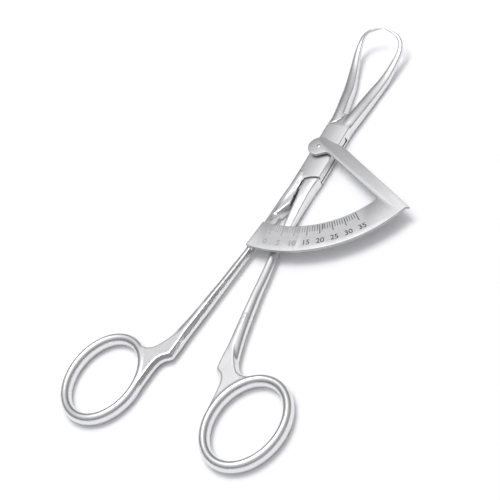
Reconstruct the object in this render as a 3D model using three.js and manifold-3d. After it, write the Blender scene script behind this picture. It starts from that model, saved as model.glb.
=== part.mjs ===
// A box-lock caliper forceps: two crossed arms with finger rings and needle-tipped jaws,
// and a quadrant scale plate that stands on the joint.
import * as THREE from "three";
import { mergeVertices } from "three/addons/utils/BufferGeometryUtils.js";
import Module from "manifold-3d";

const wasm = await Module();
wasm.setup();

// Driving dimensions in millimetres. Y runs from the finger rings to the tips and Z up
// from the face that the instrument lies on. The joint axis is X = Y = 0.
const tipReach = 45.2; // joint axis to the needle tips
const tipLift = 5.9; // rise of the tips over the middle plane
const tipGap = 0.3; // between the two needle points when closed
const jawBow = 6.8; // widest place of a jaw's middle line from the centre plane
const ringReach = 87.1; // joint axis to the middle of a finger ring
const ringSpread = 23.0; // middle of a finger ring from the centre plane
const ringHoleLong = 23.1; // finger opening
const ringHoleWide = 18.2;
const ringBand = 2.7; // width of the ring's bar in plan
const ringHeight = 3.8;
const ringLean = 2.7; // degrees that each ring's long axis leans outwards
const boxWidth = 7.4;
const boxOffset = 1.1; // the box's middle stands this far to the right of the joint axis
const boxThickness = 4.2;
const boxFront = 9.6; // radius of the arc that ends the cheeks towards the tips
const boxBack = 10.8; // radius of the arc that ends them towards the rings
const slotHeight = 1.7; // the slot through the box
const shankThickness = 2.6;
const shankWidth = 2.4; // at the plate's arc
const crotchBack = 13.8; // where the two shanks' inner edges meet
const bumpToRing = 11.9; // from the step on each shank's inner edge to the ring's middle, along Y
const bumpInset = 4.3; // the step's place inwards of the ring's inner side
const pinRadius = 1.2;
const spigotRadius = 0.55; // the pin's thin upper end, which carries the plate
const washerThickness = 0.4;
const washerRadius = 2.1;
const plateThickness = 0.8;
const plateBoss = 3.25; // radius of the boss over the joint
const plateInner = 29.4; // radii of the graduated arc
const plateOuter = 38.0;
const plateArmWidth = 4.2;
const plateArmShift = 2.6; // the arm's middle line from the joint axis
const plateArmAngle = -29.0; // degrees from X
const seatLap = 0.4; // share of the fixed shank's width that the plate's left end covers
const seatRise = 6; // length of the slope up to the plate
const seatFall = 1.2; // and of the slope down from it
const webReach = 20.3; // where the web between the shanks starts to end
const webCut = 3.9; // length of its slanted end along Y
const parting = 1.1; // where the jaws' roots meet, measured from the joint axis
const runningGap = 0.3; // between parts that move on each other
const fitGap = 0.3; // round a pin in its hole

const middle = boxThickness / 2; // height of the arms' middle plane
const boxRight = boxOffset + boxWidth / 2;
const boxLeft = boxOffset - boxWidth / 2;
const ringWide = (ringHoleWide + ringBand) / 2; // half widths of the ring bar's middle line
const ringLong = (ringHoleLong + ringBand) / 2;
const medial = ringSpread - ringWide - ringBand / 2; // a ring's side nearest the centre plane
const bumpReach = ringReach - bumpToRing;
const bumpSpread = medial - bumpInset;
const rootY = boxFront + 1.2; // the moving jaw's root
const plateBottom = boxThickness + washerThickness;
const plateTop = plateBottom + plateThickness;
const steel = { color: 0xc9c9cc, roughness: 0.36, metalness: 1 };

// A three.js geometry as a manifold solid.
function solid(geometry) {
  const bare = geometry.clone();
  bare.deleteAttribute("normal");
  bare.deleteAttribute("uv");
  const merged = mergeVertices(bare, 1e-4);
  const vertProperties = new Float32Array(merged.attributes.position.array);
  const triVerts = new Uint32Array(merged.index.array);
  return new wasm.Manifold(new wasm.Mesh({ numProp: 3, vertProperties, triVerts }));
}

// A manifold solid as a named mesh with its own material.
function piece(name, body, finish = {}) {
  const { vertProperties, triVerts } = body.getMesh();
  const geometry = new THREE.BufferGeometry();
  geometry.setAttribute("position", new THREE.BufferAttribute(new Float32Array(vertProperties), 3));
  geometry.setIndex(new THREE.BufferAttribute(new Uint32Array(triVerts), 1));
  geometry.computeVertexNormals();
  const mesh = new THREE.Mesh(geometry, new THREE.MeshStandardMaterial({ ...steel, ...finish }));
  mesh.name = name;
  return mesh;
}

// A plan outline made a slab between two heights.
function slab(shape, bottom, top, curveSegments = 24) {
  const geometry = new THREE.ExtrudeGeometry(shape, {
    depth: top - bottom,
    bevelEnabled: false,
    curveSegments,
  });
  return solid(geometry.translate(0, 0, bottom));
}

// An upright cylinder at (x, y).
function rod(radius, bottom, top, x = 0, y = 0, segments = 40) {
  const geometry = new THREE.CylinderGeometry(radius, radius, top - bottom, segments);
  geometry.rotateX(Math.PI / 2);
  return solid(geometry.translate(x, y, (bottom + top) / 2));
}

// A bar of chamfered rectangular section through stations [x, y, z, half width, half height].
// z is measured from the middle plane.
function bar(stations, steps) {
  const path = new THREE.CatmullRomCurve3(
    stations.map(([x, y, z]) => new THREE.Vector3(x, y, z + middle)),
    false,
    "centripetal",
  );
  const sizes = new THREE.CatmullRomCurve3(
    stations.map(([, , , half, rise]) => new THREE.Vector3(half, rise, 0)),
    false,
    "catmullrom",
    0.3,
  );
  const chamfer = 0.35;
  const section = new THREE.Shape();
  section.moveTo(1, -1 + chamfer);
  section.lineTo(1, 1 - chamfer);
  section.lineTo(1 - chamfer, 1);
  section.lineTo(-1 + chamfer, 1);
  section.lineTo(-1, 1 - chamfer);
  section.lineTo(-1, -1 + chamfer);
  section.lineTo(-1 + chamfer, -1);
  section.lineTo(1 - chamfer, -1);
  const geometry = new THREE.ExtrudeGeometry(section, { depth: 1, steps, bevelEnabled: false });
  const at = geometry.attributes.position;
  for (let i = 0; i < at.count; i++) {
    const t = THREE.MathUtils.clamp(at.getZ(i), 0, 1);
    const place = path.getPoint(t);
    const along = path.getTangent(t).setZ(0).normalize();
    const size = sizes.getPoint(t);
    const side = at.getX(i) * size.x;
    at.setXYZ(i, place.x - along.y * side, place.y + along.x * side, place.z + at.getY(i) * size.y);
  }
  return solid(geometry);
}

// Distance of a shank's inner edge from the centre plane at y.
function innerEdge(y) {
  const slope = bumpSpread / (bumpReach - crotchBack);
  return slope * (-y - crotchBack) + runningGap / 2;
}

// Half the arm's thickness at y on the handle side.
function shankRise(y) {
  const taper = THREE.MathUtils.smoothstep(-y, boxBack + 1, plateInner + 2);
  return THREE.MathUtils.lerp(boxThickness, shankThickness, taper) / 2;
}

// A point on a finger ring's oval, side +1 or -1, with the oval's half lengths in plan.
function ringPoint(side, angle, halfWide, halfLong) {
  const lean = THREE.MathUtils.degToRad(ringLean);
  const x = halfWide * Math.cos(angle);
  const y = halfLong * Math.sin(angle);
  return new THREE.Vector2(
    side * (ringSpread + x * Math.cos(lean) + y * Math.sin(lean)),
    -ringReach - x * Math.sin(lean) + y * Math.cos(lean),
  );
}

// The ring's bar: an oval section turned once round, then drawn out to the oval.
function fingerRing(side) {
  const profile = [];
  const sectionSides = 12;
  for (let i = 0; i <= sectionSides; i++) {
    const angle = (i / sectionSides) * 2 * Math.PI;
    const across = (ringBand / 2) * Math.cos(angle);
    profile.push(new THREE.Vector2(ringWide + across, (ringHeight / 2) * Math.sin(angle)));
  }
  const geometry = new THREE.LatheGeometry(profile, 48);
  geometry.rotateX(Math.PI / 2);
  const at = geometry.attributes.position;
  const stretch = ringLong - ringWide;
  for (let i = 0; i < at.count; i++) {
    const radius = Math.hypot(at.getX(i), at.getY(i));
    at.setY(i, at.getY(i) * (1 + stretch / radius));
  }
  geometry.rotateZ((-side * ringLean * Math.PI) / 180);
  return solid(geometry.translate(side * ringSpread, -ringReach, middle));
}

// A shank from the box to its ring in plan: a straight inner edge, the step near the ring,
// the web round the ring's shoulder and the curved outer edge.
function shankOutline(side, outerTop) {
  const at = (x, y) => new THREE.Vector2(side * x, y);
  const outline = new THREE.Shape();
  const start = at(innerEdge(-crotchBack), -crotchBack);
  outline.moveTo(start.x, start.y);
  const innerStops = 16;
  for (let i = 1; i <= innerStops; i++) {
    const y = THREE.MathUtils.lerp(-crotchBack, -bumpReach, i / innerStops);
    outline.lineTo(side * innerEdge(y), y);
  }
  const edge = innerEdge(-bumpReach);
  const lowest = ringPoint(side, Math.PI * 0.96, ringWide, ringLong);
  outline.splineThru([
    at(edge + 0.35, -bumpReach - 0.9),
    at(edge + (medial - edge) * 0.45, -bumpReach - 1.8),
    at(edge + (medial - edge) * 0.78, -bumpReach - 3.0),
    at(medial + 0.2, -bumpReach - 6.5),
    lowest,
  ]);
  const shoulderStops = 8;
  for (let i = 1; i <= shoulderStops; i++) {
    const angle = THREE.MathUtils.lerp(Math.PI * 0.96, Math.PI * 0.58, i / shoulderStops);
    const onRing = ringPoint(side, angle, ringWide, ringLong);
    outline.lineTo(onRing.x, onRing.y);
  }
  const shoulder = ringPoint(side, Math.PI * 0.6, ringWide + ringBand / 2, ringLong + ringBand / 2);
  const waistY = -plateInner - 4;
  const waistX = innerEdge(waistY) + shankWidth;
  const kneeY = THREE.MathUtils.lerp(-bumpReach, waistY, 0.3);
  const thighY = THREE.MathUtils.lerp(-bumpReach, waistY, 0.6);
  outline.splineThru([
    shoulder,
    at(edge + shankWidth * 3.6, -bumpReach + 0.6),
    at(edge + shankWidth * 2.4, -bumpReach + 1.6),
    at(edge + shankWidth * 1.65, -bumpReach + 5.0),
    at(innerEdge(kneeY) + shankWidth * 1.2, kneeY),
    at(innerEdge(thighY) + shankWidth * 1.1, thighY),
    at(waistX, waistY),
    at((waistX + outerTop) / 2, (waistY - crotchBack) / 2),
    at(outerTop, -crotchBack),
  ]);
  return outline;
}

// The shank's outline as a body whose thickness follows shankRise.
function shank(side, outerTop) {
  const geometry = new THREE.ExtrudeGeometry(shankOutline(side, outerTop), {
    depth: 2,
    bevelEnabled: false,
    curveSegments: 5,
  });
  const at = geometry.attributes.position;
  for (let i = 0; i < at.count; i++) {
    at.setZ(i, middle + (at.getZ(i) - 1) * shankRise(at.getY(i)));
  }
  return solid(geometry);
}

// A jaw from its root to the needle point. rootX places the root, and the bow is the same
// on both sides.
function jaw(side, root) {
  const reach = (share) => root.y + (tipReach - root.y) * share;
  const blend = (share) => THREE.MathUtils.lerp(root.x, side * jawBow, share);
  return bar(
    [
      [root.x, root.y, 0, root.half, boxThickness / 2],
      [blend(0.13), reach(0.15), 0, root.half * 0.92, boxThickness * 0.47],
      [blend(0.47), reach(0.44), -0.07 * tipLift, 1.6, 1.6],
      [blend(0.76), reach(0.62), -0.03 * tipLift, 1.3, 1.35],
      [side * jawBow * 0.97, reach(0.78), 0.17 * tipLift, 0.95, 1.05],
      [side * jawBow, reach(0.865), 0.37 * tipLift, 0.72, 0.85],
      [side * jawBow * 0.86, reach(0.945), 0.72 * tipLift, 0.6, 0.65],
      [side * jawBow * 0.58, reach(0.975), 0.87 * tipLift, 0.45, 0.48],
      [side * (tipGap / 2), reach(1), tipLift, 0.12, 0.12],
    ],
    36,
  );
}

// The box's cheeks in plan: straight sides, and two arcs round the joint axis.
function boxOutline() {
  const right = boxOffset + boxWidth / 2;
  const left = boxOffset - boxWidth / 2;
  const shape = new THREE.Shape();
  shape.absarc(0, 0, boxFront, Math.acos(right / boxFront), Math.acos(left / boxFront), false);
  shape.absarc(0, 0, boxBack, -Math.acos(left / boxBack), -Math.acos(right / boxBack), false);
  return shape;
}

// The way through the box in plan. inset draws it in on every side, for the waist that fills it.
function passage(inset, right, left) {
  const wall = boxWidth * 0.9; // where the end walls meet the box's sides
  const deep = crotchBack - 0.4 - inset;
  const slack = inset * 1.2; // the end walls slant, so their inset is wider along X
  const shape = new THREE.Shape();
  shape.moveTo(right, -deep);
  shape.lineTo(right, wall - inset);
  shape.lineTo(boxOffset + boxWidth / 2 - 0.25 - slack, wall - inset);
  shape.lineTo(boxOffset + 0.3 - slack, deep);
  shape.lineTo(left, deep);
  shape.lineTo(left, -wall + inset);
  shape.lineTo(boxOffset - boxWidth / 2 + 0.25 + slack, -wall + inset);
  shape.lineTo(boxOffset - 0.3 + slack, -deep);
  return shape;
}


// Where the plate's left end lies over the fixed shank at y, from the centre plane.
function seatEdge(y) {
  return innerEdge(y) + shankWidth * seatLap;
}

// The seat: the fixed shank's top rises to the plate's underside and falls again below it.
function plateSeat() {
  const foot = middle + shankRise(-plateInner) - 0.1;
  const start = plateInner - seatRise;
  const end = plateOuter + seatFall;
  const profile = new THREE.Shape([
    new THREE.Vector2(start, middle),
    new THREE.Vector2(start, foot),
    new THREE.Vector2(plateInner - 0.6, plateBottom),
    new THREE.Vector2(plateOuter - 0.2, plateBottom),
    new THREE.Vector2(end, foot),
    new THREE.Vector2(end, middle),
  ]);
  const width = shankWidth * 4;
  const rib = new THREE.ExtrudeGeometry(profile, { depth: width, bevelEnabled: false });
  const at = rib.attributes.position;
  for (let i = 0; i < at.count; i++) {
    at.setXYZ(i, at.getZ(i) - width, -at.getX(i), at.getY(i));
  }
  const plan = new THREE.Shape([
    new THREE.Vector2(-innerEdge(-start), -start),
    new THREE.Vector2(-seatEdge(-start), -start),
    new THREE.Vector2(-seatEdge(-end), -end),
    new THREE.Vector2(-innerEdge(-end), -end),
  ]);
  return solid(rib).intersect(slab(plan, middle - 0.5, plateTop));
}

// The web that fills the crotch on the fixed arm, up to the moving shank.
function web() {
  const edge = (y) => innerEdge(y) - runningGap;
  const top = -crotchBack + 0.5;
  const low = -webReach - webCut;
  const shape = new THREE.Shape([
    new THREE.Vector2(-innerEdge(top) - 1, top),
    new THREE.Vector2(edge(top), top),
    new THREE.Vector2(edge(-webReach), -webReach),
    new THREE.Vector2(-innerEdge(low) + 0.1, low),
    new THREE.Vector2(-innerEdge(low) - 1, low),
  ]);
  return slab(shape, middle - shankRise(low), middle + shankRise(low));
}

// The fixed arm: left ring and shank, the box, and the right jaw.
function fixedArm() {
  const fixedRoot = {
    x: (parting + runningGap / 2 + boxRight + 0.3) / 2,
    y: boxFront - 2,
    half: (boxRight + 0.3 - parting - runningGap / 2) / 2,
  };
  const open = boxWidth * 3;
  const body = fingerRing(-1)
    .add(shank(-1, -boxLeft + 0.1))
    .add(slab(boxOutline(), 0, boxThickness))
    .add(jaw(1, fixedRoot))
    .add(plateSeat())
    .add(web())
    .add(
      slab(
        new THREE.Shape([
          new THREE.Vector2(boxLeft, -boxBack + 2),
          new THREE.Vector2(boxLeft - 0.05, -crotchBack - 0.2),
          new THREE.Vector2(-innerEdge(-crotchBack - 0.2), -crotchBack - 0.2),
          new THREE.Vector2(parting / 3 - runningGap / 2, -boxBack + 0.2),
        ]),
        0,
        boxThickness,
      ),
    );
  return body
    .subtract(slab(passage(0, open, -open), middle - slotHeight / 2, middle + slotHeight / 2))
    .subtract(rod(pinRadius + fitGap, -1, boxThickness + 1));
}

// The moving arm: right ring and shank, the waist inside the box, and the left jaw.
function movingArm() {
  const movingRoot = {
    x: (parting - runningGap / 2 + boxLeft) / 2,
    y: rootY,
    half: (parting - runningGap / 2 - boxLeft) / 2,
  };
  const waistHeight = slotHeight - 2 * runningGap;
  const waist = slab(
    passage(runningGap, boxRight - 0.1, boxLeft + 0.1),
    middle - waistHeight / 2,
    middle + waistHeight / 2,
  );
  const shoulder = slab(
    new THREE.Shape([
      new THREE.Vector2(parting / 3 + runningGap / 2, -boxBack + 1),
      new THREE.Vector2(innerEdge(-crotchBack - 0.2), -crotchBack - 0.2),
      new THREE.Vector2(boxRight - 0.35, -crotchBack - 0.2),
      new THREE.Vector2(boxRight, -boxBack + 1),
    ]),
    0,
    boxThickness,
  );
  const neck = slab(
    new THREE.Shape([
      new THREE.Vector2(boxLeft, boxFront - 1.2),
      new THREE.Vector2(parting - runningGap / 2, boxFront - 1.2),
      new THREE.Vector2(parting - runningGap / 2, rootY + 0.1),
      new THREE.Vector2(boxLeft, rootY + 0.1),
    ]),
    0,
    boxThickness,
  );
  const back = shank(1, boxRight - 0.4).add(shoulder);
  const front = neck.add(jaw(-1, movingRoot));
  return fingerRing(1)
    .add(back.subtract(rod(boxBack + runningGap, -1, boxThickness + 1, 0, 0, 96)))
    .add(front.subtract(rod(boxFront + runningGap, -1, boxThickness + 1, 0, 0, 96)))
    .add(waist)
    .subtract(rod(pinRadius + fitGap, -1, boxThickness + 1));
}

function scalePlate() {
  const arm = THREE.MathUtils.degToRad(plateArmAngle);
  const along = new THREE.Vector2(Math.cos(arm), Math.sin(arm));
  const across = new THREE.Vector2(-along.y, along.x);
  const place = (u, v) => new THREE.Vector2(along.x * u + across.x * v, along.y * u + across.y * v);
  const upper = plateArmShift + plateArmWidth / 2;
  const lower = plateArmShift - plateArmWidth / 2;
  const outerU = Math.sqrt((plateOuter + 1) ** 2 - upper ** 2);
  const innerU = Math.sqrt(plateInner ** 2 - lower ** 2);
  const corner = place(outerU, upper);
  const inside = place(innerU, lower);
  const endOuter = Math.asin(-seatEdge(-plateOuter) / plateOuter) - Math.PI / 2;
  const endInner = Math.asin(-seatEdge(-plateInner) / plateInner) - Math.PI / 2;
  const shape = new THREE.Shape();
  const bossStart = arm + Math.PI / 2 - 0.15;
  const bossEnd = arm - Math.PI / 2 + 0.75;
  shape.absarc(0, 0, plateBoss, bossStart, bossEnd + 2 * Math.PI, false);
  const root = place(plateBoss * 1.45, lower);
  shape.lineTo(root.x, root.y);
  shape.lineTo(inside.x, inside.y);
  shape.absarc(0, 0, plateInner, Math.atan2(inside.y, inside.x), endInner, true);
  shape.absarc(0, 0, plateOuter, endOuter, Math.atan2(corner.y, corner.x) - 0.02, false);
  shape.lineTo(corner.x, corner.y);
  const bend = place(plateBoss * 2.2, upper);
  shape.lineTo(bend.x, bend.y);
  return slab(shape, plateBottom, plateTop, 40).subtract(
    rod(spigotRadius + fitGap, plateBottom - 1, plateTop + 1),
  );
}

const group = new THREE.Group();
group.add(piece("fixed_arm", fixedArm()));
group.add(piece("moving_arm", movingArm()));
group.add(
  piece(
    "joint_pin",
    rod(pinRadius, 0, boxThickness).add(rod(spigotRadius, boxThickness - 0.5, plateTop)),
    { roughness: 0.3 },
  ),
);
group.add(
  piece(
    "boss_washer",
    rod(washerRadius, boxThickness, plateBottom).subtract(
      rod(spigotRadius + fitGap, boxThickness - 1, plateBottom + 1),
    ),
  ),
);
group.add(piece("scale_plate", scalePlate(), { color: 0xbfbfc3, roughness: 0.5 }));

export default group;
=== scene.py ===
import math

import bmesh
import bpy
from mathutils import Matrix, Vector


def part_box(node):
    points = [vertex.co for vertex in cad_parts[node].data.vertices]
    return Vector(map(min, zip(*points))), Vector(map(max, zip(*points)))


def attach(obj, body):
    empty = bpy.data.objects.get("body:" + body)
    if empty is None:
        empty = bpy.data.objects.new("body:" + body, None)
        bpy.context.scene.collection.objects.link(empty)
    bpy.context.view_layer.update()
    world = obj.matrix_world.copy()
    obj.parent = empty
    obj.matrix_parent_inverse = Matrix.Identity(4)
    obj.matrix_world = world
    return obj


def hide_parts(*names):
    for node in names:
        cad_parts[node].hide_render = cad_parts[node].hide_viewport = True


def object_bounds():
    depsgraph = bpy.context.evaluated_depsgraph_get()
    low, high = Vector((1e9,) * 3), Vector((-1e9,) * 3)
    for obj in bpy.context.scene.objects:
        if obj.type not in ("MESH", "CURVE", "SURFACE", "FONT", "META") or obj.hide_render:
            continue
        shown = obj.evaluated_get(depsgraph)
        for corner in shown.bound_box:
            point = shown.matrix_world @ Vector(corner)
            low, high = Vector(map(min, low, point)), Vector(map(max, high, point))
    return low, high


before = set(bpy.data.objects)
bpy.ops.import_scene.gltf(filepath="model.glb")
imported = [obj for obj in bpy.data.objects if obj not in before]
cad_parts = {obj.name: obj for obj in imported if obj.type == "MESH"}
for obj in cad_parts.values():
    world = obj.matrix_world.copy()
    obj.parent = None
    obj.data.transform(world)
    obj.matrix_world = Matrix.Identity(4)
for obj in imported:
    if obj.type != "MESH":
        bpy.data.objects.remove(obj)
cadLow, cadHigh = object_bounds()
mm = 0.001

# places that come from the frame
pinLow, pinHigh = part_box("joint_pin")
plateLow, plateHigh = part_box("scale_plate")
washerLow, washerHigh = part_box("boss_washer")
boxTop = washerLow.z  # the box's upper face
middle = boxTop / 2  # the arms' middle plane
print("frame loaded, box top at", round(boxTop / mm, 2), "mm")


# helpers for selecting, editing and joining
def onlySelect(*pieces):
    if bpy.context.mode != "OBJECT":
        bpy.ops.object.mode_set(mode="OBJECT")
    bpy.ops.object.select_all(action="DESELECT")
    for piece in pieces:
        piece.select_set(True)
    bpy.context.view_layer.objects.active = pieces[0]


def editOn(piece):
    onlySelect(piece)
    bpy.ops.object.mode_set(mode="EDIT")


def editOff():
    bpy.ops.object.mode_set(mode="OBJECT")


def settle(piece):
    # the object goes to the origin and its place into the mesh
    onlySelect(piece)
    bpy.ops.object.transform_apply(location=True, rotation=True, scale=True)
    return piece


def pick(piece, test, kind="VERT"):
    bpy.ops.mesh.select_mode(type=kind)
    bpy.ops.mesh.select_all(action="DESELECT")
    mesh = bmesh.from_edit_mesh(piece.data)
    if kind == "VERT":
        for vert in mesh.verts:
            vert.select_set(test(vert.co))
    elif kind == "EDGE":
        for edge in mesh.edges:
            if all(test(vert.co) for vert in edge.verts):
                edge.select_set(True)
    else:
        for face in mesh.faces:
            if test(face.calc_center_median()):
                face.select_set(True)
    mesh.select_flush_mode()
    bmesh.update_edit_mesh(piece.data)


def makeClean(piece):
    editOn(piece)
    bpy.ops.mesh.select_all(action="SELECT")
    bpy.ops.mesh.remove_doubles(threshold=1e-6)
    bpy.ops.mesh.normals_make_consistent(inside=False)
    editOff()
    return piece


def useModifier(piece, kind, **settings):
    onlySelect(piece)
    bpy.ops.object.modifier_add(type=kind)
    modifier = piece.modifiers[-1]
    for key, value in settings.items():
        setattr(modifier, key, value)
    bpy.ops.object.modifier_apply(modifier=modifier.name)
    return piece


def carve(piece, tool, operation="DIFFERENCE"):
    useModifier(piece, "BOOLEAN", operation=operation, solver="EXACT", object=tool)
    bpy.data.objects.remove(tool)
    return piece


def joinAll(name, pieces):
    onlySelect(*pieces)
    bpy.ops.object.join()
    whole = bpy.context.view_layer.objects.active
    whole.name = name
    return whole


def outlineSlab(name, points, bottom, top):
    # a corner is pulled along the outline, closed to a face, and the face pulled up
    bpy.ops.mesh.primitive_plane_add(size=mm, location=(0, 0, 0))
    slab = bpy.context.object
    slab.name = name
    editOn(slab)
    bpy.ops.mesh.select_all(action="SELECT")
    bpy.ops.mesh.merge(type="CENTER")
    at = Vector((0, 0, 0))
    for index, (x, y) in enumerate(points):
        spot = Vector((x * mm, y * mm, bottom))
        if index == 0:
            bpy.ops.transform.translate(value=spot - at)
        else:
            bpy.ops.mesh.extrude_vertices_move(TRANSFORM_OT_translate={"value": spot - at})
        at = spot
    bpy.ops.mesh.select_all(action="SELECT")
    bpy.ops.mesh.edge_face_add()
    bpy.ops.mesh.extrude_region_move(TRANSFORM_OT_translate={"value": (0, 0, top - bottom)})
    bpy.ops.mesh.select_all(action="SELECT")
    bpy.ops.mesh.normals_make_consistent(inside=False)
    editOff()
    return slab


def upright(name, radius, bottom, top, x=0.0, y=0.0, sides=96):
    bpy.ops.mesh.primitive_cylinder_add(
        vertices=sides, radius=radius, depth=top - bottom, location=(x, y, (top + bottom) / 2)
    )
    rod = bpy.context.object
    rod.name = name
    return settle(rod)


section = {
    "corners": 40,
    # how far a faceted inner side leans in: (from height, to height, distance)
    "leans": (
        (0.4, 0.5, 0.08),
        (0.55, 0.65, 0.16),
        (0.68, 0.75, 0.24),
        (0.78, 0.84, 0.26),
        (0.86, 0.92, 0.16),
    ),
    "leanFrom": -0.3,
}


def drawSection(name, innerFlat, outerFlat, side, facet):
    # a round face across Y, flattened on its inner and outer sides, 2 wide and 2 high
    bpy.ops.mesh.primitive_circle_add(
        vertices=section["corners"], radius=1, fill_type="NGON", rotation=(math.radians(90), 0, 0)
    )
    face = bpy.context.object
    face.name = name
    settle(face)
    editOn(face)
    pick(face, lambda co: co.x * side < -innerFlat)
    bpy.ops.transform.resize(value=(0, 1, 1), center_override=(-side * innerFlat, 0, 0))
    pick(face, lambda co: co.x * side > outerFlat)
    bpy.ops.transform.resize(value=(0, 1, 1), center_override=(side * outerFlat, 0, 0))
    if facet:
        # above and below its middle the inner side leans in, up to a crisp ridge
        for low, high, lean in section["leans"]:
            pick(face, lambda co: co.x * side < section["leanFrom"] and low < abs(co.z) < high)
            bpy.ops.transform.translate(value=(side * lean, 0, 0))
    bpy.ops.mesh.select_all(action="SELECT")
    bpy.ops.transform.translate(value=(side * (innerFlat - outerFlat) / 2, 0, 0))
    bpy.ops.transform.resize(value=(2 / (innerFlat + outerFlat), 1, 1), center_override=(0, 0, 0))
    return face


def sweepBar(name, stations, innerFlat=0.6, outerFlat=1.0, side=1, steps=4, facet=False):
    # stations are (x, y, z from the middle, half width, half height) in mm
    bar = drawSection(name, innerFlat, outerFlat, side, facet)
    path = fineStations(stations, steps)
    at, turned, wide, high = Vector((0, 0, 0)), 0.0, 1.0, 1.0
    for index, (x, y, z, newWide, newHigh) in enumerate(path):
        before, after = path[max(index - 1, 0)], path[min(index + 1, len(path) - 1)]
        turn = -math.atan2(after[0] - before[0], abs(after[1] - before[1]) + 1e-9)
        spot = Vector((x * mm, y * mm, z * mm + middle))
        newWide, newHigh = newWide * mm, newHigh * mm
        if index:
            bpy.ops.mesh.extrude_region_move(TRANSFORM_OT_translate={"value": spot - at})
        else:
            bpy.ops.transform.translate(value=spot - at)
        turnPicked(-turned, spot)
        bpy.ops.transform.resize(value=(newWide / wide, 1, newHigh / high), center_override=spot)
        turnPicked(turn, spot)
        at, turned, wide, high = spot, turn, newWide, newHigh
    bpy.ops.mesh.select_all(action="SELECT")
    bpy.ops.mesh.normals_make_consistent(inside=False)
    editOff()
    return bar


def turnPicked(angle, centre):
    # without a window this operator turns the other way round
    bpy.ops.transform.rotate(value=-angle, orient_axis="Z", center_override=centre)


def fineStations(stations, steps):
    # evenly eased stations between the given ones
    fine = []
    last = len(stations) - 1
    for index in range(last):
        p0, p1 = stations[max(index - 1, 0)], stations[index]
        p2, p3 = stations[index + 1], stations[min(index + 2, last)]
        for step in range(steps):
            t = step / steps
            fine.append(tuple(hermite(a, b, c, d, t, index, last) for a, b, c, d in zip(p0, p1, p2, p3)))
    fine.append(tuple(stations[last]))
    return fine


def hermite(a, b, c, d, t, index, last):
    # a smooth step from b to c, with a before them and d after
    start = (c - a) / (2 if index else 1)
    end = (d - b) / (2 if index < last - 1 else 1)
    return (
        (2 * t**3 - 3 * t**2 + 1) * b
        + (t**3 - 2 * t**2 + t) * start
        + (3 * t**2 - 2 * t**3) * c
        + (t**3 - t**2) * end
    )


# sizes shared by both arms, from the joint axis
plan = {
    "crotch": 13.8,
    "innerSlope": 0.1124,
    "gap": 0.3,
    "boxLeft": -2.6,
    "boxRight": 4.8,
    "boxRise": 2.1,  # half of the box's height
    "slotHeight": 1.7,
    "waistGap": 0.18,
    "lockGap": 0.28,  # between the box's ends and the other arm
    "pinHole": 1.25,
    "cutRise": 4,  # half height of a cutting slab
    "ringX": 23.0,
    "ringY": -87.1,
    "ringWide": 10.45,
    "ringLong": 12.9,
    "ringBand": 2.7,
    "ringHeight": 3.65,
    "ringLean": 2.7,
    "voxel": 0.2,
    "smoothing": 6,
}


def innerEdge(y):
    return plan["innerSlope"] * (-y - plan["crotch"]) + plan["gap"] / 2


def ringSpot(angle, grow=0.0):
    lean = math.radians(plan["ringLean"])
    x = (plan["ringWide"] + grow) * math.cos(angle)
    y = (plan["ringLong"] + grow) * math.sin(angle)
    return (
        plan["ringX"] + x * math.cos(lean) + y * math.sin(lean),
        plan["ringY"] - x * math.sin(lean) + y * math.cos(lean),
    )


def tallSlab(name, points, above=plan["cutRise"]):
    return outlineSlab(name, points, middle - plan["cutRise"] * mm, middle + above * mm)


def mirrored(points, side):
    return [(side * x, y) for x, y in points]


def fingerRing(side):
    bpy.ops.curve.primitive_bezier_circle_add(radius=plan["ringWide"] * mm)
    ring = bpy.context.object
    ring.name = "ring"
    ring.data.resolution_u = 28
    ring.scale = (1, plan["ringLong"] / plan["ringWide"], 1)
    settle(ring)
    ring.data.bevel_depth = plan["ringBand"] / 2 * mm
    ring.data.bevel_resolution = 6
    onlySelect(ring)
    bpy.ops.object.convert(target="MESH")
    ring = bpy.context.object
    ring.scale = (1, 1, plan["ringHeight"] / plan["ringBand"])
    ring.rotation_euler = (0, 0, -side * math.radians(plan["ringLean"]))
    ring.location = (side * plan["ringX"] * mm, plan["ringY"] * mm, middle)
    return makeClean(settle(ring))


# the outer edge of each shank from the box down, as (x, y)
outerEdge = {
    -1: [(2.7, -13.8), (3.45, -20), (4.15, -27), (4.75, -33.4), (5.3, -38), (6.3, -44)],
    1: [(4.45, -13.8), (4.45, -20), (4.6, -27), (4.85, -33.4), (5.35, -38), (6.3, -44)],
}
lowerOuterEdge = [(7.0, -49.5), (7.7, -53.5), (8.5, -58), (9.3, -62), (10.3, -66), (11.5, -70), (12.9, -73.4)]
shank = {
    "thinning": (0.82, 11.8, 31.4),  # how much, and from where to where below the joint
    "thickening": (0.5, 40, 58),
    "start": -9.0,
    "startShare": 0.96,
    "startRise": 2.02,
    "end": (11.4, -77.5, 0, 2.4, 1.45),
    "innerFlat": 0.62,
    "outerFlat": 0.5,  # on the flat bar only
    "flatStart": {1: (2.5, 2.3), -1: (-1.0, 1.6)},  # middle and half width
    "flatStations": 5,
    "flatInset": (0.02, 0.05),  # how much narrower, and more at each station
    "flatSink": (0.01, 0.06),
    "clip": [(0.1, -14.3), (0.1, -80), (30, -80), (30, -9.6)],
}


def eased(value, low, high):
    t = min(max((value - low) / (high - low), 0), 1)
    return t * t * (3 - 2 * t)


def shankRise(y):
    # thinner below the box, thicker again towards the ring
    thin, thinFrom, thinTo = shank["thinning"]
    thick, thickFrom, thickTo = shank["thickening"]
    return plan["boxRise"] - thin * eased(-y, thinFrom, thinTo) + thick * eased(-y, thickFrom, thickTo)


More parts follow.
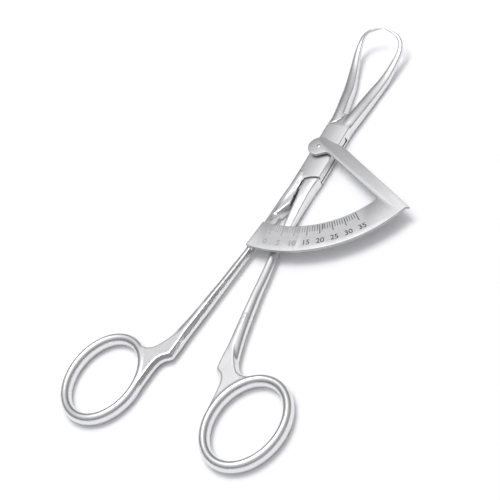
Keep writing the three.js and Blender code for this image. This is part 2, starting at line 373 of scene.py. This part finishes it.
def shankFlats(side, stations):
    # the box's flat section runs on into the shank and fades away below it
    x, half = shank["flatStart"][side]
    flats = [(x, shank["start"], 0, half, plan["boxRise"])]
    inset, insetStep = shank["flatInset"]
    sink, sinkStep = shank["flatSink"]
    for index, (x, y, z, half, rise) in enumerate(stations[: shank["flatStations"]]):
        flats.append((x, y, z, half - inset - insetStep * index, rise - sink - sinkStep * index))
    return flats


def shankBar(side):
    stations = []
    for x, y in outerEdge[side] + lowerOuterEdge:
        inner = innerEdge(y)
        stations.append((side * (x + inner) / 2, y, 0, (x - inner) / 2, shankRise(y)))
    flats = shankFlats(side, stations)
    top = stations[0]
    stations.insert(0, (top[0], shank["start"], 0, top[3] * shank["startShare"], shank["startRise"]))
    endX, endY, endZ, endHalf, endRise = shank["end"]
    stations.append((side * endX, endY, endZ, endHalf, endRise))
    innerFlat, outerFlat = shank["innerFlat"], shank["outerFlat"]
    bar = sweepBar("shank", stations, innerFlat=innerFlat, side=side, facet=True)
    flat = sweepBar("shankFlat", flats, innerFlat=innerFlat, outerFlat=outerFlat, side=side, facet=True)
    if side > 0:
        for part in (bar, flat):
            carve(part, tallSlab("shankShape", lockEdge("back") + shank["clip"]), "INTERSECT")
    return joinAll("shankBar", [bar, flat])


# the flat web between each shank and its ring, outlined as (x, y) on the right side
web = {
    "rise": 1.8,
    "side": 0.4,  # its sides are upright up to here and then lean in
    "lean": 0.8,
    "innerTop": ((-62, 0.6), (-67, 0.3), (-71, 0)),  # y, and how far outside the shank's inner edge
    "tip": (6.6, -57.0),
    "step": [(7.0, -75.0), (7.1, -75.7), (8.0, -76.45)],
    "inner": [(9.1, -77.1), (9.9, -78.1), (10.35, -79.5), (10.6, -81.4), (10.85, -84), (11.1, -87.5)],
    "innerEnd": [(11.6, -90.8), (12.7, -93.6)],
    "alongRing": (1.14, 1.06, 0.98, 0.9, 0.82, 0.74, 0.66, 0.58),  # shares of half a turn
    "alongInset": -1.0,
    "shoulder": ((0.56, 0.2), (0.6, 0.8), (0.64, 1.3)),  # share of half a turn, and distance out
    "outer": [(16.9, -74.75), (15.4, -74.85), (14.0, -74.3), (12.75, -73.0)],
    "outerTop": [(11.2, -70.6), (9.5, -67.5), (8.4, -62.5), (7.7, -57)],
}


def ringWeb(side):
    points = [web["tip"]] + [(innerEdge(y) + off, y) for y, off in web["innerTop"]]
    points += web["step"] + web["inner"] + web["innerEnd"]
    points += [ringSpot(math.pi * share, web["alongInset"]) for share in web["alongRing"]]
    points += [ringSpot(math.pi * share, grow) for share, grow in web["shoulder"]]
    points += web["outer"] + web["outerTop"]
    slab = outlineSlab("web", mirrored(points, side), middle - web["side"] * mm, middle + web["side"] * mm)
    editOn(slab)
    pick(slab, lambda co: abs(abs(co.z - middle) - web["side"] * mm) < 0.01 * mm, "FACE")
    bpy.ops.mesh.inset(thickness=web["lean"] * mm, depth=(web["rise"] - web["side"]) * mm)
    editOff()
    return makeClean(slab)


# the box, with the curves that end its cheeks as (x, y)
box = {
    "front": [(-5, 9.05), (-2.6, 9.1), (-1.5, 9.4), (-0.5, 10.0), (0.4, 10.8), (1.1, 12.1), (1.35, 13.5)],
    "frontPast": [(1.4, 17), (-5, 17)],
    "back": [
        (7, -9.3),
        (4.8, -9.6),
        (3.6, -9.85),
        (2.4, -10.2),
        (1.4, -10.6),
        (0.6, -11.1),
        (0.25, -12.2),
        (0.1, -13.9),
    ],
    "backPast": [(0.1, -18), (7, -18)],
    "flat": 0.5,
    "stations": (-10.4, 0, 9.6),
    "fixedReach": (-14.4, 14.6),
    "neckReach": (8, 14.6),
    "shoulderReach": (-14.6, -8),
    "taperPast": 14,  # a block that reaches further than this tapers at its end
    "backTaper": (0.9, 1.55),  # share of the width, and half height
    "frontTaper": (0.96, 1.5),
    "waistEnd": 13.4,
    "wall": 6.66,
    "skin": 0.25,  # the cheeks' side walls beyond the slot
    "rightWall": 1.4,
    "leftWall": 0.8,
    "slackShare": 1.2,
    "past": 25,  # the slot's cutter reaches past both sides
}


def lockEdge(end):
    # the curve at one end of the box, moved off by the lock's gap
    away = plan["lockGap"] if end == "back" else -plan["lockGap"]
    return [(x + away, y - away) for x, y in box[end]]


def boxBlock(low, high):
    centre = (plan["boxLeft"] + plan["boxRight"]) / 2
    half = (plan["boxRight"] - plan["boxLeft"]) / 2
    rise = plan["boxRise"]
    lowShare, lowRise = box["backTaper"] if low < -box["taperPast"] else (1, rise)
    highShare, highRise = box["frontTaper"] if high > box["taperPast"] else (1, rise)
    rows = [(centre, low, 0, half * lowShare, lowRise)]
    rows += [(centre, y, 0, half, rise) for y in box["stations"] if low < y < high]
    rows += [(centre, high, 0, half * highShare, highRise)]
    return sweepBar("box", rows, innerFlat=box["flat"], outerFlat=box["flat"], steps=1)


def passage(name, inset, right, left):
    # the slot through the box, or with an inset the waist that passes through it
    deep = box["waistEnd"] - inset
    slack = inset * box["slackShare"]
    wall = box["wall"] - inset
    points = [
        (right, -deep),
        (right, wall),
        (plan["boxRight"] - box["skin"] - slack, wall),
        (box["rightWall"] - slack, deep),
        (left, deep),
        (left, -wall),
        (plan["boxLeft"] + box["skin"] + slack, -wall),
        (box["leftWall"] + slack, -deep),
    ]
    rise = (plan["slotHeight"] / 2 - inset) * mm
    return outlineSlab(name, points, middle - rise, middle + rise)


def remeshed(name, pieces):
    whole = joinAll(name, pieces)
    return useModifier(whole, "REMESH", mode="VOXEL", voxel_size=plan["voxel"] * mm, adaptivity=0)


def softened(arm):
    return useModifier(arm, "SMOOTH", factor=0.5, iterations=plan["smoothing"])


# stations of each jaw: (x, y, z from the middle, half width, half height)
jaws = {
    1: [
        (3.0, 4.0, 0, 1.75, 1.95),
        (3.2, 9.0, 0, 1.75, 2.0),
        (3.65, 13.2, 0, 1.77, 1.97),
        (4.25, 18.5, -0.2, 1.7, 1.8),
        (4.88, 24.1, -0.41, 1.6, 1.6),
        (5.93, 30.9, -0.18, 1.3, 1.35),
        (6.6, 36.9, 1.0, 0.95, 1.05),
    ],
    -1: [
        (-0.8, 7.0, 0, 1.77, 1.95),
        (-0.95, 11.5, 0, 1.75, 2.0),
        (-1.6, 16.0, 0, 1.65, 1.95),
        (-2.6, 21.0, -0.2, 1.62, 1.8),
        (-3.63, 25.9, -0.41, 1.6, 1.6),
        (-5.37, 32.1, -0.18, 1.3, 1.35),
        (-6.6, 37.4, 1.0, 0.95, 1.05),
    ],
    # the bend over to the tip, on the right side
    "bend": [
        (6.8, 40.2, 2.1, 0.75, 0.88),
        (6.5, 42.1, 3.25, 0.66, 0.75),
        (5.8, 43.25, 4.15, 0.58, 0.64),
        (4.9, 43.95, 4.75, 0.5, 0.54),
        (3.8, 44.4, 5.15, 0.42, 0.44),
        (2.6, 44.75, 5.45, 0.3, 0.3),
    ],
    "needle": [
        (6.2, 42.8, 3.8, 0.42, 0.45),
        (5.0, 43.95, 4.75, 0.4, 0.42),
        (3.5, 44.5, 5.2, 0.4, 0.4),
        (1.8, 44.95, 5.58, 0.3, 0.3),
        (0.16, 45.2, 5.9, 0.08, 0.08),
    ],
    "innerFlat": 0.6,
    "outerFlat": 0.8,
}


def onSide(stations, side):
    return [(side * x, *rest) for x, *rest in stations]


def jawBar(side):
    stations = jaws[side] + onSide(jaws["bend"], side)
    return sweepBar("jaw", stations, side=side, innerFlat=jaws["innerFlat"], outerFlat=jaws["outerFlat"])


def needle(side):
    return sweepBar("needle", onSide(jaws["needle"], side), side=side, innerFlat=1, outerFlat=1)


# the fixed arm's web in the crotch
crotch = {"rise": 1.75, "low": -20.3, "cut": -24.2, "edge": 0.2}


def crotchWeb():
    low, end = crotch["low"], crotch["cut"]
    points = [
        (-innerEdge(-12) - 1.4, -12.0),
        (-0.1, -12.3),
        (innerEdge(-16) - plan["gap"], -16),
        (innerEdge(low) - plan["gap"], low),
        (-innerEdge(end), end),
        (-innerEdge(end) - 1, end),
    ]
    slab = outlineSlab("crotchWeb", points, middle - crotch["rise"] * mm, middle + crotch["rise"] * mm)
    lowY, leftX = (low + 0.1) * mm, (-innerEdge(end) - 0.2) * mm
    editOn(slab)
    pick(slab, lambda co: co.z > middle and co.y < lowY and co.x > leftX, "EDGE")
    bpy.ops.mesh.bevel(offset=crotch["edge"] * mm, segments=1, affect="EDGES")
    editOff()
    return makeClean(slab)


# the seat under the plate's left end: (y, top over the middle)
seat = {
    "lap": 0.96,
    "sink": 0.02,
    "flat": 0.35,
    "tops": ((-24.5, 1.35), (-26.5, 1.75), (-28.8, 2.45), (-33, 2.48), (-36.6, 2.48), (-37.5, 1.2)),
}


def plateSeat():
    half = seat["lap"] / 2
    rows = []
    for y, top in seat["tops"]:
        inner = innerEdge(y) + seat["sink"]
        rows.append((-(inner + half), y, top / 2, half, top / 2))
    return sweepBar("seat", rows, innerFlat=seat["flat"], outerFlat=seat["flat"], side=-1)


# a small punched mark in the flat beside the fixed arm's ring
punchMark = {"x": -11.6, "y": -79.35, "narrow": 0.1, "wide": 0.6, "deep": 0.8}


def webPit():
    place = (punchMark["x"] * mm, punchMark["y"] * mm, middle + web["rise"] * mm)
    bpy.ops.mesh.primitive_cone_add(
        vertices=24,
        radius1=punchMark["narrow"] * mm,
        radius2=punchMark["wide"] * mm,
        depth=punchMark["deep"] * mm,
        location=place,
    )
    return bpy.context.object


def pinHole():
    return upright("pinHole", plan["pinHole"] * mm, -mm, boxTop + mm)


def makeFixedArm():
    parts = [boxBlock(*box["fixedReach"]), fingerRing(-1), shankBar(-1), ringWeb(-1), jawBar(1)]
    parts += [crotchWeb(), plateSeat()]
    arm = softened(remeshed("fixedForging", parts))
    # the cheeks' ends and the slot are cut last, so their edges stay crisp
    for end in ("front", "back"):
        carve(arm, tallSlab(end + "Cut", box[end] + box[end + "Past"]))
    carve(arm, passage("slot", 0, box["past"], -box["past"]))
    carve(arm, pinHole())
    carve(arm, webPit())
    return carve(arm, needle(1), "UNION")


# the moving arm's outlines beyond the box's end curves
movingClip = {
    "neck": [(1.0, 17), (-6, 17)],
    "shoulder": [(0.42, -18), (7, -18)],
    "jaw": [(1.0, 14), (1.0, 60), (-20, 60), (-20, 9.3)],
    "jawAbove": 10,
    "waistSkin": 0.15,  # the waist stops this far inside the box's sides
}


def makeMovingArm():
    front, back = lockEdge("front"), lockEdge("back")
    neck = boxBlock(*box["neckReach"])
    carve(neck, tallSlab("neckShape", front + movingClip["neck"]), "INTERSECT")
    shoulder = boxBlock(*box["shoulderReach"])
    carve(shoulder, tallSlab("shoulderShape", back + movingClip["shoulder"]), "INTERSECT")
    parts = [neck, shoulder, fingerRing(1), shankBar(1), ringWeb(1)]
    jaw = jawBar(-1)
    carve(jaw, tallSlab("jawShape", front + movingClip["jaw"], above=movingClip["jawAbove"]), "INTERSECT")
    skin = movingClip["waistSkin"]
    waist = passage("waist", plan["waistGap"], plan["boxRight"] - skin, plan["boxLeft"] + skin)
    parts += [jaw, waist]
    arm = softened(remeshed("movingForging", parts))
    carve(arm, pinHole())
    return carve(arm, needle(-1), "UNION")


fixedArm = makeFixedArm()
print("fixed arm", len(fixedArm.data.polygons), "faces")
movingArm = makeMovingArm()
print("moving arm", len(movingArm.data.polygons), "faces")

# the scale plate
plate = {
    "boss": 3.25,
    "inner": 29.4,
    "outer": 38.0,
    "armWide": 4.2,
    "armShift": 2.6,
    "armAngle": -29.0,
    "cornerReach": 1,  # the arm's corner stands this far outside the arc
    "cornerGap": 0.02,
    "bossTrim": (0.15, 0.75),  # angles taken off the boss where the arm runs in
    "fillet": 0.35,
    "filletShares": (1.15, 1.5, 2.2),
    "spigotHole": 0.53,
    "edge": 0.1,
    "firstMark": -88.0,
    "division": 1.307,
    "marks": 36,
    "markStart": 0.45,
    "longMark": (3.5, 0.26),  # end and width
    "shortMark": (2.3, 0.2),
    "digitSize": 2.35,
    "digitRadius": 35.4,
    "digitWeight": 0.035,
    "depth": 0.07,
}


def bevelled(piece, edge):
    return useModifier(
        piece, "BEVEL", width=edge * mm, segments=2, limit_method="ANGLE", angle_limit=math.radians(40)
    )


def arc(radius, start, end, count):
    angles = [start + (end - start) * i / count for i in range(count + 1)]
    return [(radius * math.cos(angle), radius * math.sin(angle)) for angle in angles]


def seatAngle(radius):
    # where the plate's edge ends over the seat on the fixed arm
    return math.asin(-(innerEdge(-radius) + seat["lap"]) / radius) - math.pi / 2


def plateOutline():
    boss, inner, outer = plate["boss"], plate["inner"], plate["outer"]
    fillet = plate["fillet"]
    near, mid, far = plate["filletShares"]
    trimStart, trimEnd = plate["bossTrim"]
    turn = math.radians(plate["armAngle"])

    def place(u, v):
        # u runs along the plate's arm and v across it
        return (u * math.cos(turn) - v * math.sin(turn), u * math.sin(turn) + v * math.cos(turn))

    upper = plate["armShift"] + plate["armWide"] / 2
    lower = plate["armShift"] - plate["armWide"] / 2
    corner = place(math.sqrt((outer + plate["cornerReach"]) ** 2 - upper**2), upper)
    inside = place(math.sqrt(inner**2 - lower**2), lower)
    cornerAngle = math.atan2(corner[1], corner[0]) - plate["cornerGap"]
    points = arc(boss, turn + math.pi / 2 - trimStart, turn - math.pi / 2 + trimEnd + 2 * math.pi, 40)
    points += [place(boss * near, lower - fillet), place(boss * mid, lower), inside]
    points += arc(inner, math.atan2(inside[1], inside[0]), seatAngle(inner), 60)[1:]
    points += arc(outer, seatAngle(outer), cornerAngle, 80)
    points += [corner, place(boss * far, upper), place(boss * mid, upper - fillet)]
    return points


def makePlate():
    body = outlineSlab("quadrantPlate", plateOutline(), plateLow.z, plateHigh.z)
    bevelled(body, plate["edge"])
    carve(body, upright("spigotHole", plate["spigotHole"] * mm, plateLow.z - mm, plateHigh.z + mm, sides=48))
    marks = []
    for count in range(plate["marks"]):
        angle = math.radians(plate["firstMark"] + plate["division"] * count)
        numbered = count % 5 == 0
        reach, wide = plate["longMark"] if numbered else plate["shortMark"]
        marks.append(engravedMark(angle, reach, wide))
        if numbered:
            marks.append(engravedNumber(str(count), angle))
    carve(body, joinAll("marks", marks))
    return makeClean(body)


def engravedMark(angle, reach, wide):
    start, end = plate["inner"] + plate["markStart"], plate["inner"] + reach
    bpy.ops.mesh.primitive_cube_add(size=1, location=(0, 0, 0))
    mark = bpy.context.object
    mark.scale = ((end - start) * mm, wide * mm, 2 * plate["depth"] * mm)
    mark.rotation_euler = (0, 0, angle)
    radius = (start + end) / 2 * mm
    mark.location = (radius * math.cos(angle), radius * math.sin(angle), plateHigh.z)
    return settle(mark)


def engravedNumber(words, angle):
    bpy.ops.object.text_add(location=(0, 0, 0))
    number = bpy.context.object
    number.data.body = words
    number.data.size = plate["digitSize"] * mm
    number.data.align_x = "CENTER"
    number.data.align_y = "CENTER"
    number.data.extrude = plate["depth"] * mm
    number.data.offset = plate["digitWeight"] * mm
    number.data.resolution_u = 3
    onlySelect(number)
    bpy.ops.object.convert(target="MESH")
    number = bpy.context.object
    radius = plate["digitRadius"] * mm
    number.rotation_euler = (0, 0, angle + math.pi / 2)
    number.location = (radius * math.cos(angle), radius * math.sin(angle), plateHigh.z)
    return makeClean(settle(number))


scalePlate = makePlate()
print("plate", len(scalePlate.data.polygons), "faces")

# the pin, domed at its upper end
pin = {
    "radius": 1.2,
    "spigot": 0.5,
    "below": 0.02,  # the shaft stops this far under the box's upper face
    "spigotLess": 0.04,  # height left over for the dome
    "domeInset": 0.15,
    "domeSteps": (0.04, 0.02),
    "footInset": 0.2,
    "edge": 0.05,
    "reach": 0.1,  # how near an end a face counts as belonging to it
}


def makePin():
    shaft = upright("jointPin", pin["radius"] * mm, pinLow.z, boxTop - pin["below"] * mm, sides=64)
    spigotRise = pinHigh.z - boxTop - pin["spigotLess"] * mm
    editOn(shaft)
    # the thin spigot is drawn up out of the top face, and its end is domed
    pick(shaft, lambda co: co.z > boxTop - pin["reach"] * mm, "FACE")
    bpy.ops.mesh.inset(thickness=(pin["radius"] - pin["spigot"]) * mm)
    bpy.ops.mesh.extrude_region_move(TRANSFORM_OT_translate={"value": (0, 0, spigotRise)})
    for step in pin["domeSteps"]:
        bpy.ops.mesh.inset(thickness=pin["domeInset"] * mm)
        bpy.ops.transform.translate(value=(0, 0, step * mm))
    pick(shaft, lambda co: co.z < pinLow.z + pin["reach"] * mm, "FACE")
    bpy.ops.mesh.inset(thickness=pin["footInset"] * mm)
    editOff()
    return makeClean(bevelled(shaft, pin["edge"]))


# the washer, with a little air above and below it
washer = {"radius": 2.1, "hole": 0.6, "edge": 0.06, "air": 0.01}


def makeWasher():
    air = washer["air"] * mm
    disc = upright("bossWasher", washer["radius"] * mm, washerLow.z + air, washerHigh.z - air, sides=64)
    carve(disc, upright("washerHole", washer["hole"] * mm, 0, 2 * boxTop, sides=48))
    return makeClean(bevelled(disc, washer["edge"]))


jointPin = makePin()
bossWasher = makeWasher()
print("pin", len(jointPin.data.polygons), "faces, washer", len(bossWasher.data.polygons), "faces")

# what all the steels share
steelLook = {
    "brushed": (1500, 150, 1500),
    "matt": (1900, 1900, 1900),
    "brushDetail": 4.0,
    "cloudScale": 140.0,
    "cloudDetail": 3.0,
    "lighter": 0.6,  # share of the mottle that goes lighter
    "wornFrom": 0.52,
    "wornTo": 0.62,
    "wornTone": 1.12,
    "wornMost": 0.95,
    "wornShare": 0.5,
    "roughSpread": 0.06,
    "grainDepth": 0.00002,
}


def grey(level):
    return (level, level, level, 1)


def nodeAt(tree, kind, x, y, **values):
    node = tree.nodes.new(kind)
    node.location = (x, y)
    for key, value in values.items():
        setattr(node, key, value)
    return node


def satinSteel(name, tone, roughness, grain, brushing="brushed", mottle=0.05):
    steel = bpy.data.materials.new(name)
    steel.use_nodes = True
    tree = steel.node_tree
    shader = tree.nodes["Principled BSDF"]
    shader.inputs["Metallic"].default_value = 1.0
    places = nodeAt(tree, "ShaderNodeTexCoord", -1400, 0)
    stretch = nodeAt(tree, "ShaderNodeMapping", -1200, 200)
    stretch.inputs["Scale"].default_value = steelLook[brushing]
    brush = nodeAt(tree, "ShaderNodeTexNoise", -1000, 200)
    brush.inputs["Scale"].default_value = 1.0
    brush.inputs["Detail"].default_value = steelLook["brushDetail"]
    cloud = nodeAt(tree, "ShaderNodeTexNoise", -1000, -100)
    cloud.inputs["Scale"].default_value = steelLook["cloudScale"]
    cloud.inputs["Detail"].default_value = steelLook["cloudDetail"]
    tree.links.new(places.outputs["Object"], stretch.inputs["Vector"])
    tree.links.new(stretch.outputs["Vector"], brush.inputs["Vector"])
    tree.links.new(places.outputs["Object"], cloud.inputs["Vector"])
    colour = nodeAt(tree, "ShaderNodeMix", -600, 200, data_type="RGBA")
    colour.inputs["A"].default_value = grey(tone * (1 - mottle))
    colour.inputs["B"].default_value = grey(tone * (1 + mottle * steelLook["lighter"]))
    tree.links.new(brush.outputs["Fac"], colour.inputs["Factor"])
    worn = nodeAt(tree, "ShaderNodeNewGeometry", -1000, -400)
    edge = nodeAt(tree, "ShaderNodeMapRange", -800, -400)
    edge.inputs["From Min"].default_value = steelLook["wornFrom"]
    edge.inputs["From Max"].default_value = steelLook["wornTo"]
    tree.links.new(worn.outputs["Pointiness"], edge.inputs["Value"])
    bright = nodeAt(tree, "ShaderNodeMix", -300, 200, data_type="RGBA")
    bright.inputs["B"].default_value = grey(min(tone * steelLook["wornTone"], steelLook["wornMost"]))
    wear = nodeAt(tree, "ShaderNodeMath", -500, -400, operation="MULTIPLY")
    wear.inputs[1].default_value = steelLook["wornShare"]
    tree.links.new(edge.outputs["Result"], wear.inputs[0])
    tree.links.new(wear.outputs["Value"], bright.inputs["Factor"])
    tree.links.new(colour.outputs["Result"], bright.inputs["A"])
    tree.links.new(bright.outputs["Result"], shader.inputs["Base Color"])
    rough = nodeAt(tree, "ShaderNodeMapRange", -600, -100)
    rough.inputs["To Min"].default_value = roughness - steelLook["roughSpread"]
    rough.inputs["To Max"].default_value = roughness + steelLook["roughSpread"]
    tree.links.new(cloud.outputs["Fac"], rough.inputs["Value"])
    tree.links.new(rough.outputs["Result"], shader.inputs["Roughness"])
    bump = nodeAt(tree, "ShaderNodeBump", -300, -300)
    bump.inputs["Strength"].default_value = grain
    bump.inputs["Distance"].default_value = steelLook["grainDepth"]
    tree.links.new(brush.outputs["Fac"], bump.inputs["Height"])
    tree.links.new(bump.outputs["Normal"], shader.inputs["Normal"])
    return steel


# the marks' filling, between two depths under the plate's face, with a painted glare that fades it towards
# the scale's zero
markFill = {"under": 0.02, "over": 0.085, "glareFrom": 7, "glareTo": 15, "glareFaint": 0.22, "full": 0.95}


def enamelMarks(steel):
    # dark filling in the engraved marks, faded towards the scale's zero by a painted highlight of glare
    tree = steel.node_tree
    shader = tree.nodes["Principled BSDF"]
    places = nodeAt(tree, "ShaderNodeTexCoord", -1400, -700)
    split = nodeAt(tree, "ShaderNodeSeparateXYZ", -1200, -700)
    tree.links.new(places.outputs["Object"], split.inputs["Vector"])
    sunk = nodeAt(tree, "ShaderNodeMath", -1000, -700, operation="LESS_THAN")
    sunk.inputs[1].default_value = plateHigh.z - markFill["under"] * mm
    tree.links.new(split.outputs["Z"], sunk.inputs[0])
    above = nodeAt(tree, "ShaderNodeMath", -1000, -850, operation="GREATER_THAN")
    above.inputs[1].default_value = plateHigh.z - markFill["over"] * mm
    tree.links.new(split.outputs["Z"], above.inputs[0])
    both = nodeAt(tree, "ShaderNodeMath", -800, -700, operation="MULTIPLY")
    tree.links.new(sunk.outputs["Value"], both.inputs[0])
    tree.links.new(above.outputs["Value"], both.inputs[1])
    # painted glare: the dark filling is washed out towards the scale's zero
    glareFade = nodeAt(tree, "ShaderNodeMapRange", -1000, -1000)
    glareFade.inputs["From Min"].default_value = markFill["glareFrom"] * mm
    glareFade.inputs["From Max"].default_value = markFill["glareTo"] * mm
    glareFade.inputs["To Min"].default_value = markFill["glareFaint"]
    glareFade.inputs["To Max"].default_value = markFill["full"]
    tree.links.new(split.outputs["X"], glareFade.inputs["Value"])
    amount = nodeAt(tree, "ShaderNodeMath", -600, -700, operation="MULTIPLY")
    tree.links.new(both.outputs["Value"], amount.inputs[0])
    tree.links.new(glareFade.outputs["Result"], amount.inputs[1])
    dark = nodeAt(tree, "ShaderNodeMix", -100, 300, data_type="RGBA")
    dark.inputs["B"].default_value = (0.08, 0.08, 0.085, 1)
    was = shader.inputs["Base Color"].links[0].from_socket
    tree.links.new(was, dark.inputs["A"])
    tree.links.new(amount.outputs["Value"], dark.inputs["Factor"])
    tree.links.new(dark.outputs["Result"], shader.inputs["Base Color"])


forged = satinSteel("forgedSatinSteel", tone=0.80, roughness=0.28, grain=0.1)
pinSteel = satinSteel("turnedPinSteel", tone=0.80, roughness=0.3, grain=0.2, brushing="matt")
plateSteel = satinSteel("mattPlateSteel", tone=0.54, roughness=0.56, grain=0.9, brushing="matt", mottle=0.16)
# dark enamel in the marks, with painted glare fading it near the zero
enamelMarks(plateSteel)

for piece, steel, sharp in (
    (fixedArm, forged, 38),
    (movingArm, forged, 38),
    (scalePlate, plateSteel, 30),
    (jointPin, pinSteel, 30),
    (bossWasher, pinSteel, 30),
):
    piece.data.materials.clear()
    piece.data.materials.append(steel)
    onlySelect(piece)
    bpy.ops.object.shade_smooth_by_angle(angle=math.radians(sharp))
print("materials set")

# what each piece rides on and stands for
for piece, body, node, finish in (
    (fixedArm, "fixed", "fixed_arm", "forged_steel"),
    (movingArm, "moving", "moving_arm", "forged_steel"),
    (jointPin, "fixed", "joint_pin", "pin_steel"),
    (bossWasher, "fixed", "boss_washer", "pin_steel"),
    (scalePlate, "fixed", "scale_plate", "plate_steel"),
):
    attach(piece, body)
    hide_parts(node)

# the floor, of pale paper
bpy.ops.mesh.primitive_plane_add(size=3, location=(0, 0, cadLow.z - 0.05 * mm))
floor = bpy.context.object
floor.name = "studioFloor"
paper = bpy.data.materials.new("palePaper")
paper.use_nodes = True
paperShader = paper.node_tree.nodes["Principled BSDF"]
paperShader.inputs["Base Color"].default_value = (0.97, 0.97, 0.98, 1)
paperShader.inputs["Roughness"].default_value = 0.9
paperShader.inputs["Specular IOR Level"].default_value = 0.1
floor.data.materials.append(paper)

# one soft lamp overhead, a little to the left
lamp = {"place": (-0.1, 0.03, 0.7), "target": (0, -0.03, 0), "size": 0.3, "watts": 2.1}
bpy.ops.object.light_add(type="AREA", location=lamp["place"])
light = bpy.context.object
light.name = "topLight"
light.data.shape = "RECTANGLE"
light.data.size = lamp["size"]
light.data.size_y = lamp["size"]
light.data.energy = lamp["watts"]
aim = Vector(lamp["target"]) - Vector(lamp["place"])
light.rotation_euler = aim.to_track_quat("-Z", "Y").to_euler()

# soft surround, darker towards the horizon and brighter overhead
world = bpy.data.worlds.new("studioWorld")
bpy.context.scene.world = world
world.use_nodes = True
sky = world.node_tree
heading = nodeAt(sky, "ShaderNodeTexCoord", -800, 0)
height = nodeAt(sky, "ShaderNodeSeparateXYZ", -600, 0)
ramp = nodeAt(sky, "ShaderNodeValToRGB", -400, 0)
sky.links.new(heading.outputs["Generated"], height.inputs["Vector"])
sky.links.new(height.outputs["Z"], ramp.inputs["Fac"])
sky.links.new(ramp.outputs["Color"], sky.nodes["Background"].inputs["Color"])
# height in the sky, and how bright it is there
surround = ((0.0, 0.16), (0.22, 0.2), (0.5, 0.44), (0.72, 0.66), (1.0, 1.25))
skyTint = (0.985, 0.985, 1.02)
stops = ramp.color_ramp.elements
for index, (place, level) in enumerate(surround):
    stop = stops[index] if index < len(stops) else stops.new(place)
    stop.position = place
    stop.color = [level * tint for tint in skyTint] + [1]
sky.nodes["Background"].inputs["Strength"].default_value = 1.0

# the camera, high up in front of the rings and to their right, turned back to the joint
view = {"place": (0.20324, -0.21147, 0.28363), "turn": (40.2844, 18.5026, 29.4133), "lens": 102.148}
bpy.ops.object.camera_add()
camera = bpy.context.object
camera.name = "camera"
camera.data.sensor_width = 36
camera.data.lens = view["lens"]
camera.data.clip_start = 0.01
camera.location = Vector(view["place"]) + Vector((0, 0, middle))
camera.rotation_euler = [math.radians(angle) for angle in view["turn"]]
bpy.context.scene.camera = camera
bpy.context.scene.view_settings.view_transform = "Standard"
print("stage set")

print("pieces ready")
